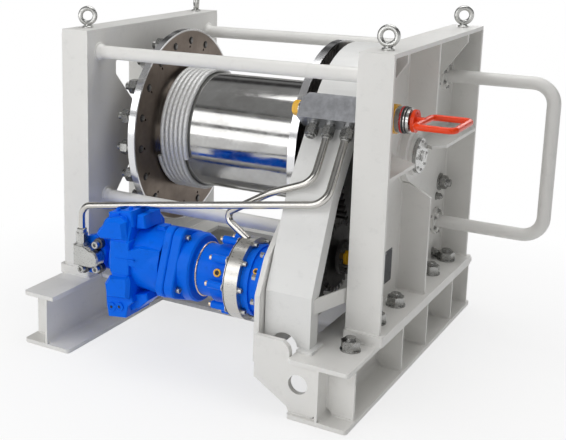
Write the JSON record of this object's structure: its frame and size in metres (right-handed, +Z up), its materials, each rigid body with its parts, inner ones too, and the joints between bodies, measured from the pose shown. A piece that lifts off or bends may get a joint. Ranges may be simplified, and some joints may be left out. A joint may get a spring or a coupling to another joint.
{
  "type": "tugger winch",
  "caption": "Hydraulic tugger winch on two floor beams: side frames, tie tubes, geared rope drum, blue motor and valve with loop handle.",
  "frame": {"origin": "under the middle of the whole winch, on the floor", "axes": "+X along the drum to the valve handle's side, +Y from the motor's side to the back, +Z up"},
  "size_m": [1.586, 1.296, 1.2139],
  "materials": {
    "frame_paint": "light grey enamel, satin",
    "zinc_steel": "zinc plated",
    "stainless_pipe": "drawn stainless tube, satin",
    "turned_steel": "turned and polished, light oil",
    "bright_steel": "ground bright",
    "blue_paint": "blue enamel over castings, satin",
    "gear_steel": "cut steel, dark with grease",
    "wire_rope": "galvanised wire rope",
    "block_metal": "milled block, grey",
    "yellow_plastic": "yellow moulded cap",
    "orange_paint": "orange-red powder coat"
  },
  "bodies": {
    "frame": {"left_beam": "frame_paint", "right_beam": "frame_paint", "beam_ribs": "frame_paint", "cross_beams": "frame_paint", "base_plates": "frame_paint", "base_bolts": "zinc_steel", "left_web": "frame_paint", "left_flanges": "frame_paint", "left_stiffeners": "frame_paint", "right_web": "frame_paint", "right_flanges": "frame_paint", "right_stiffeners": "frame_paint", "upper_ties": "frame_paint", "lower_front_tie": "frame_paint", "lower_rear_tie": "frame_paint", "tie_bolts": "zinc_steel", "eye_bolts": "zinc_steel", "guard_rail": "frame_paint", "bearing_housings": "frame_paint", "bearing_caps": "bright_steel", "motor_plate": "frame_paint", "gear_cover": "frame_paint", "cover_strut": "frame_paint", "lifting_lug": "frame_paint", "gearbox": "blue_paint", "ring_flange": "zinc_steel", "brake_housing": "blue_paint", "motor_flange": "blue_paint", "motor_body": "blue_paint", "motor_ports": "blue_paint", "pipe_elbow": "zinc_steel", "manifold_block": "block_metal", "manifold_plug": "yellow_plastic", "pipe_fittings": "zinc_steel", "long_pipe": "stainless_pipe", "short_pipe": "stainless_pipe", "valve_collar": "bright_steel", "idler_shaft": "gear_steel", "idler_cap": "yellow_plastic"},
    "drum": {"drum_barrel": "turned_steel", "drum_left_flange": "turned_steel", "drum_right_flange": "turned_steel", "rope_turns": "wire_rope", "drum_bolts": "zinc_steel", "drum_shaft": "turned_steel", "drum_gear": "gear_steel", "gear_hub": "gear_steel"},
    "idler": {"idler_gear": "gear_steel"},
    "pinion": {"pinion": "gear_steel"},
    "handle": {"valve_handle": "orange_paint"}
  },
  "joints": [
    {"name": "drum_spin", "type": "hinge", "parent": "frame", "child": "drum", "pos_m": [0, 0.065, 0.726], "axis": [1, 0, 0], "continuous": true},
    {"name": "idler_spin", "type": "hinge", "parent": "frame", "child": "idler", "pos_m": [0, -0.27651, 0.4299], "axis": [1, 0, 0], "continuous": true},
    {"name": "pinion_spin", "type": "hinge", "parent": "frame", "child": "pinion", "pos_m": [0, -0.46, 0.361], "axis": [1, 0, 0], "continuous": true},
    {"name": "handle_turn", "type": "hinge", "parent": "frame", "child": "handle", "pos_m": [0, -0.30207, 0.92], "axis": [1, 0, 0], "range_deg": [-40, 40]}
  ],
  "couplings": [
    {"joint": "idler_spin", "follows": "drum_spin", "ratio": -2.8966},
    {"joint": "pinion_spin", "follows": "drum_spin", "ratio": 4.2}
  ]
}
